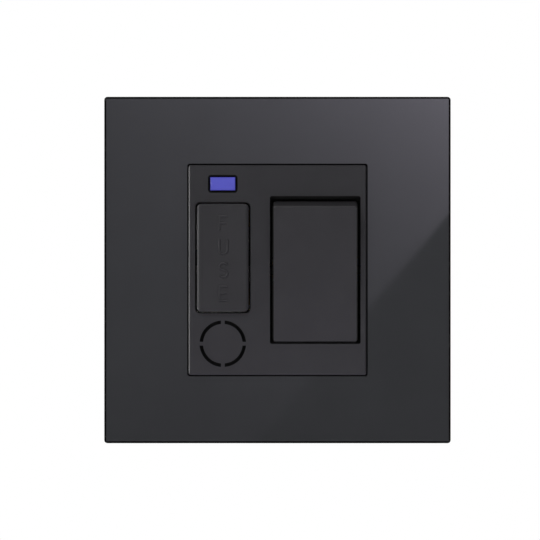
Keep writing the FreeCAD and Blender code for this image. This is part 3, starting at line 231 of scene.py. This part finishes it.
def add_object(name, data):
    piece = bpy.data.objects.new(name, data)
    bpy.context.scene.collection.objects.link(piece)
    return piece


# Shader nodes

def new_material(name):
    material = bpy.data.materials.new(name)
    material.use_nodes = True
    tree = material.node_tree
    return material, tree, tree.nodes["Principled BSDF"]


def math_node(tree, operation, *values):
    """Result of an operation on numbers or on other nodes' outputs."""
    node = tree.nodes.new("ShaderNodeMath")
    node.operation = operation
    for socket, value in zip(node.inputs, values):
        if isinstance(value, (int, float)):
            socket.default_value = value
        else:
            tree.links.new(value, socket)
    return node.outputs["Value"]


def distance_from(tree, coordinate, middle):
    return math_node(tree, "ABSOLUTE", math_node(tree, "SUBTRACT", coordinate, middle))


def axes(tree, space="Object"):
    """The three coordinates, by default in the object's own space."""
    place = tree.nodes.new("ShaderNodeTexCoord")
    parts = tree.nodes.new("ShaderNodeSeparateXYZ")
    tree.links.new(place.outputs[space], parts.inputs["Vector"])
    return parts.outputs["X"], parts.outputs["Y"], parts.outputs["Z"]


def object_noise(tree, scale, detail):
    """Noise in the object's own space, so that it rides with the piece."""
    place = tree.nodes.new("ShaderNodeTexCoord")
    noise = tree.nodes.new("ShaderNodeTexNoise")
    noise.inputs["Scale"].default_value = scale
    noise.inputs["Detail"].default_value = detail
    tree.links.new(place.outputs["Object"], noise.inputs["Vector"])
    return noise.outputs["Fac"]


def ramp(tree, value, dark, light):
    """A colour that goes from dark to light as the noise rises."""
    colours = tree.nodes.new("ShaderNodeValToRGB")
    for stop, place, colour in zip(colours.color_ramp.elements, TONE_STRETCH, (dark, light)):
        stop.position = place
        stop.color = (*colour, 1)
    tree.links.new(value, colours.inputs["Fac"])
    return colours.outputs["Color"]


def spread(tree, value, low, high):
    """A number that goes from low to high as the noise rises."""
    mapped = tree.nodes.new("ShaderNodeMapRange")
    limits = zip(("From Min", "From Max", "To Min", "To Max"), (*GLOSS_STRETCH, low, high))
    for socket, limit in limits:
        mapped.inputs[socket].default_value = limit
    tree.links.new(value, mapped.inputs["Value"])
    return mapped.outputs["Result"]


# Materials

def surface(name, colour, vary, roughness, rough_vary, tone_scale, grain_scale, grain,
            metallic=0.0, specular=COMMON_SPECULAR):
    """Opaque finish: a colour that drifts a little, uneven gloss and a fine grain."""
    material, tree, shader = new_material(name)
    dark = [c * (1 - vary) for c in colour]
    light = [min(c * (1 + vary), 1.0) for c in colour]
    tone = object_noise(tree, tone_scale, DRIFT_DETAIL)
    tree.links.new(ramp(tree, tone, dark, light), shader.inputs["Base Color"])
    unevenness = object_noise(tree, tone_scale * GLOSS_FINENESS, DRIFT_DETAIL)
    gloss = spread(tree, unevenness, roughness - rough_vary, roughness + rough_vary)
    tree.links.new(gloss, shader.inputs["Roughness"])
    shader.inputs["Metallic"].default_value = metallic
    shader.inputs["Specular IOR Level"].default_value = specular
    if grain:
        bump = tree.nodes.new("ShaderNodeBump")
        bump.inputs["Strength"].default_value = grain
        bump.inputs["Distance"].default_value = GRAIN_DEPTH
        tree.links.new(object_noise(tree, grain_scale, GRAIN_DETAIL), bump.inputs["Height"])
        tree.links.new(bump.outputs["Normal"], shader.inputs["Normal"])
    return material


def paint_shade(tree, mask, specular, tone):
    """Painted shade: where the mask is 1 the finish turns matt and takes the tone."""
    shader = tree.nodes["Principled BSDF"]
    face_colour = shader.inputs["Base Color"].links[0].from_socket
    mix = tree.nodes.new("ShaderNodeMix")
    mix.data_type = "RGBA"
    tree.links.new(mask, mix.inputs["Factor"])
    tree.links.new(face_colour, mix.inputs[MIX_FIRST])
    mix.inputs[MIX_SECOND].default_value = (tone, tone, tone, 1)
    tree.links.new(mix.outputs[MIX_RESULT], shader.inputs["Base Color"])
    gloss = math_node(tree, "MULTIPLY", math_node(tree, "SUBTRACT", 1.0, mask), specular)
    tree.links.new(gloss, shader.inputs["Specular IOR Level"])


def black_glass():
    """Back-painted glass, with painted shade, matt and near black, on its edges and deeper faces.
    """
    material = surface("black_glass", *GLASS_FINISH)
    tree = material.node_tree
    x, y, z = axes(tree)
    across = math_node(tree, "ABSOLUTE", x)
    along = math_node(tree, "ABSOLUTE", z)
    outer = math_node(tree, "MAXIMUM", across, along)
    # Painted shade: the edge band and the faces behind the front skin turn matt and near black
    arris = math_node(tree, "GREATER_THAN", outer, cad_high[0] - PANE_ARRIS)
    side = math_node(tree, "GREATER_THAN", y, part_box("front_panel")[0][1] + PANE_SKIN)
    edge = math_node(tree, "MAXIMUM", arris, side)
    paint_shade(tree, edge, COMMON_SPECULAR, PANE_EDGE_SHADE)
    return material


def satin(name, colour, specular):
    return surface(name, colour, *SATIN_FINISH, specular=specular)


def satin_plate():
    """The satin moulding of the centre plate, with painted shade inside its gaps and grooves."""
    material = satin("satin_plate", PLATE_SATIN, PLATE_SPECULAR)
    tree = material.node_tree
    y = axes(tree)[1]
    # Painted shade: everything deeper than the front skin turns matt and dark
    groove_shade = math_node(tree, "GREATER_THAN", y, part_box("centre_plate")[0][1] + PLATE_SKIN)
    paint_shade(tree, groove_shade, PLATE_SPECULAR, PLATE_GROOVE_SHADE)
    return material


def satin_rocker():
    """The satin moulding of the rocker, with painted shade on its side arrises, which take no
    sheen.
    """
    material = satin("satin_rocker", MOVING_SATIN, MOVING_SPECULAR)
    tree = material.node_tree
    x = axes(tree)[0]
    across = distance_from(tree, x, box_centre("rocker").x)
    # Painted shade: a band along each side arris turns matt and dark
    side = math_node(tree, "GREATER_THAN", across, ROCKER_WIDTH / 2 - ROCKER_ARRIS)
    paint_shade(tree, side, MOVING_SPECULAR, ROCKER_ARRIS_SHADE)
    return material


def lit_lens():
    """Tinted light pipe with the lamp behind it, with painted shade at its rim."""
    material = surface("indicator_blue", *LENS_FINISH)
    tree = material.node_tree
    shader = tree.nodes["Principled BSDF"]
    shader.inputs["Emission Color"].default_value = LENS_GLOW_COLOUR
    x, _, z = axes(tree)
    middle = box_centre("indicator_lens")
    across = distance_from(tree, x, middle.x)
    along = distance_from(tree, z, middle.z)
    # Painted shade: a thin rim round the lens turns matt and near black
    at_side = math_node(tree, "GREATER_THAN", across, LENS_WIDTH / 2 - LENS_RIM)
    at_end = math_node(tree, "GREATER_THAN", along, LENS_HEIGHT / 2 - LENS_RIM)
    rim = math_node(tree, "MAXIMUM", at_side, at_end)
    paint_shade(tree, rim, COMMON_SPECULAR, LENS_RIM_SHADE)
    glow = math_node(tree, "MULTIPLY", math_node(tree, "SUBTRACT", 1.0, rim), LENS_GLOW)
    tree.links.new(glow, shader.inputs["Emission Strength"])
    return material


def clear_resin():
    """The indicator lamp's own moulding, partly clear."""
    material = surface("led_resin", *RESIN_FINISH)
    shader = material.node_tree.nodes["Principled BSDF"]
    shader.inputs["Transmission Weight"].default_value = RESIN_CLEARNESS
    return material


def slot_materials():
    """One material for each material slot of the record."""
    made = {
        "black_glass": black_glass(),
        "satin_plastic": satin("satin_plastic", MOVING_SATIN, MOVING_SPECULAR),
        "indicator_blue": lit_lens(),
        "led_resin": clear_resin(),
    }
    for name, finish in PLAIN_FINISHES.items():
        made[name] = surface(name, *finish)
    return made


def dress():
    """Give each CAD piece its slot's material, or one of its own."""
    shared = slot_materials()
    own = {"centre_plate": satin_plate(), "rocker": satin_rocker()}
    for name, piece in nodes.items():
        piece.data.materials.clear()
        piece.data.materials.append(own.get(name) or shared[slot_of[name]])


def soften_edges():
    """Break the moulded and ground edges with small rounds."""
    for name, width in EDGE_ROUNDS.items():
        bevel = nodes[name].modifiers.new("edge_round", "BEVEL")
        bevel.width = width
        bevel.segments = ROUND_SEGMENTS
        bevel.limit_method = "ANGLE"
        bevel.angle_limit = math.radians(ROUND_FROM_ANGLE)


# Raised word on the drawer

def arc(cx, cz, rx, rz, start, end):
    """Points on part of an ellipse, between two angles in degrees."""
    points = []
    for index in range(ARC_STEPS + 1):
        angle = math.radians(start + (end - start) * index / ARC_STEPS)
        points.append((cx + rx * math.cos(angle), cz + rz * math.sin(angle)))
    return points


# Middle lines of each letter's strokes, in a box one unit wide and one unit high
LETTER_LINES = {
    "F": [[(0, 0), (0, 1), (1, 1)], [(0, 0.52), (0.85, 0.52)]],
    "U": [[(0, 1), (0, 0.3)] + arc(0.5, 0.3, 0.5, 0.3, 180, 360)[1:] + [(1, 1)]],
    "S": [arc(0.5, 0.76, 0.5, 0.24, 25, 270) + arc(0.5, 0.26, 0.5, 0.26, 90, -155)[1:]],
    "E": [[(1, 1), (0, 1), (0, 0), (1, 0)], [(0, 0.52), (0.88, 0.52)]],
}


def stroke_curve(name, lines, radius):
    """Round-ended raised strokes along lines of points."""
    curve = bpy.data.curves.new(name, "CURVE")
    curve.dimensions = "3D"
    curve.bevel_depth = radius
    curve.bevel_resolution = STROKE_ROUNDNESS
    curve.use_fill_caps = True
    for line in lines:
        spline = curve.splines.new("POLY")
        spline.points.add(len(line) - 1)
        for point, place in zip(spline.points, line):
            point.co = (*place, 1)
    return add_object(name, curve)


def raised_word():
    """The word's letters, one below the other on the drawer's face."""
    # Painted light: the letters take a lighter colour than the drawer's face
    material = satin("satin_letters", LETTER_SATIN, LETTER_SPECULAR)
    radius = LETTER_STROKE / 2
    width = LETTER_WIDTH - LETTER_STROKE
    height = LETTER_HEIGHT - LETTER_STROKE
    middle_x = box_centre("fuse_carrier").x + WORD_OFFSET_X
    stroke_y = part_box("fuse_carrier")[0][1] + radius - LETTER_RAISE
    for index, letter in enumerate(WORD):
        middle_z = WORD_TOP_Z - index * LETTER_PITCH
        lines = []
        for stroke in LETTER_LINES[letter]:
            lines.append([(middle_x + (u - 0.5) * width, stroke_y, middle_z + (v - 0.5) * height)
                          for u, v in stroke])
        piece = stroke_curve(f"drawer_letter_{index + 1}_{letter.lower()}", lines, radius)
        piece.data.materials.append(material)
        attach(piece, "fuse_drawer")


# Studio: pale floor, world, lamps and reflection cards

def plane(name, corners):
    mesh = bpy.data.meshes.new(name)
    mesh.from_pydata(corners, [], [(0, 1, 2, 3)])
    piece = add_object(name, mesh)
    return piece


def level_corners(x_range, y_range, z):
    (x0, x1), (y0, y1) = x_range, y_range
    return [(x0, y0, z), (x1, y0, z), (x1, y1, z), (x0, y1, z)]


def floor():
    extent = (-FLOOR_HALF, FLOOR_HALF)
    piece = plane("floor", level_corners(extent, extent, FLOOR_Z))
    piece.data.materials.append(surface("floor_paper", *PAPER_FINISH, specular=0.0))


def card(name, corners, strength, tint=(1, 1, 1)):
    """Board that only glossy surfaces see."""
    piece = plane(name, corners)
    piece.visible_camera = False
    piece.visible_diffuse = False
    piece.visible_shadow = False
    piece.visible_transmission = False
    material, tree, shader = new_material(name)
    shader.inputs["Base Color"].default_value = BLACK
    shader.inputs["Specular IOR Level"].default_value = 0
    shader.inputs["Emission Color"].default_value = (*tint, 1)
    shader.inputs["Emission Strength"].default_value = strength
    piece.data.materials.append(material)
    return tree, shader


def upright_card(name, start, end, z_range, strength, tint=(1, 1, 1)):
    """Card standing on the line between two (x, y) places."""
    z0, z1 = z_range
    return card(name, [(*start, z0), (*end, z0), (*end, z1), (*start, z1)], strength, tint)


def dark_room():
    """Boards at the front, at both sides and overhead, and a dim one on the floor in front."""
    front_left = (-BOARD_REACH, BOARD_FRONT_Y)
    front_right = (BOARD_REACH, BOARD_FRONT_Y)
    back_left = (-BOARD_REACH, BOARD_BACK_Y)
    back_right = (BOARD_REACH, BOARD_BACK_Y)
    z_range = (FLOOR_Z, BOARD_TOP)
    upright_card("front_board", front_left, front_right, z_range, DARK)
    upright_card("right_board", front_right, back_right, z_range, DARK)
    upright_card("left_board", (-BOARD_REACH, LEFT_BOARD_Y), back_left, z_range, DARK)
    x_range = (-BOARD_REACH, BOARD_REACH)
    card("top_board", level_corners(x_range, (BOARD_FRONT_Y, BOARD_BACK_Y), BOARD_TOP), DARK)
    card("front_floor", level_corners(x_range, (BOARD_FRONT_Y, LOW_CARD_Y[0]), FRONT_FLOOR_Z),
         FRONT_FLOOR_LEVEL)


def bright_cards():
    """The strips at the left, and a faintly violet card on the floor near the object."""
    for name, (start, end, strength) in STRIPS.items():
        upright_card(name, start, end, STRIP_Z, strength)
    card("low_card", level_corners(LOW_CARD_X, LOW_CARD_Y, LOW_CARD_Z), LOW_CARD_LEVEL,
         LOW_CARD_TINT)


def glow_board():
    """The soft-box card, whose level fades from the corner and ends at the slanting edge."""
    z_range = (-GLOW_BOARD_HALF, GLOW_BOARD_HALF)
    start = (-GLOW_BOARD_HALF, GLOW_BOARD_Y)
    end = (GLOW_BOARD_HALF, GLOW_BOARD_Y)
    tree, shader = upright_card("glow_board", start, end, z_range, GLOW_PEAK, GLOW_TINT)
    x, _, z = axes(tree)
    fade_x = math_node(tree, "DIVIDE", math_node(tree, "SUBTRACT", x, GLOW_CORNER), GLOW_FADE_X)
    fade_z = math_node(tree, "DIVIDE", math_node(tree, "SUBTRACT", z, GLOW_CORNER), GLOW_FADE_Z)
    fade = math_node(tree, "POWER", math.e, math_node(tree, "ADD", fade_x, fade_z))
    glow = math_node(tree, "MINIMUM", math_node(tree, "MULTIPLY", fade, GLOW_PEAK), GLOW_LIMIT)
    across = math_node(tree, "SUBTRACT", x, GLOW_EDGE_X)
    edge = math_node(tree, "MULTIPLY", across, GLOW_EDGE_SLOPE)
    above = math_node(tree, "GREATER_THAN", math_node(tree, "SUBTRACT", z, GLOW_EDGE_Z), edge)
    tree.links.new(math_node(tree, "MULTIPLY", glow, above), shader.inputs["Emission Strength"])


def lamp(name, place, aim, width, height, power):
    data = bpy.data.lights.new(name, "AREA")
    data.shape = "RECTANGLE"
    data.size = width
    data.size_y = height
    data.energy = power
    piece = add_object(name, data)
    piece.location = place
    piece.rotation_euler = (Vector(aim) - Vector(place)).to_track_quat("-Z", "Y").to_euler()
    return piece


def world():
    """Light that grows towards the zenith, and white for what the camera, gloss and glass see."""
    scene_world = bpy.data.worlds.new("studio")
    bpy.context.scene.world = scene_world
    scene_world.use_nodes = True
    tree = scene_world.node_tree
    light = tree.nodes["Background"]
    light.inputs["Color"].default_value = WHITE
    height = math_node(tree, "MAXIMUM", axes(tree, "Generated")[2], 0.0)
    sky = math_node(tree, "MULTIPLY", height, SKY_LEVEL)
    tree.links.new(math_node(tree, "ADD", sky, WORLD_LEVEL), light.inputs["Strength"])
    backdrop = tree.nodes.new("ShaderNodeBackground")
    backdrop.inputs["Color"].default_value = WHITE
    backdrop.inputs["Strength"].default_value = BACKDROP_LEVEL
    path = tree.nodes.new("ShaderNodeLightPath")
    seen = math_node(tree, "MAXIMUM", path.outputs["Is Camera Ray"], path.outputs["Is Glossy Ray"])
    seen = math_node(tree, "MAXIMUM", seen, path.outputs["Is Transmission Ray"])
    mix = tree.nodes.new("ShaderNodeMixShader")
    tree.links.new(seen, mix.inputs["Fac"])
    tree.links.new(light.outputs["Background"], mix.inputs[1])
    tree.links.new(backdrop.outputs["Background"], mix.inputs[2])
    tree.links.new(mix.outputs["Shader"], tree.nodes["World Output"].inputs["Surface"])


def camera():
    data = bpy.data.cameras.new("camera")
    data.type = "ORTHO"
    data.ortho_scale = VIEW_WIDTH
    data.clip_start = CLIP_NEAR
    data.clip_end = CLIP_FAR
    piece = add_object("camera", data)
    piece.location = (VIEW_CENTRE_X, -CAMERA_DISTANCE, 0)
    piece.rotation_euler = (math.radians(90), 0, 0)
    bpy.context.scene.camera = piece


def studio():
    floor()
    world()
    glow_board()
    dark_room()
    lamp("key", **KEY_LAMP)
    low_front = lamp("low_front", **LOW_LAMP)
    low_front.visible_glossy = False
    bright_cards()
    camera()


dress()
soften_edges()
raised_word()
studio()
bpy.context.scene.view_settings.view_transform = "Standard"
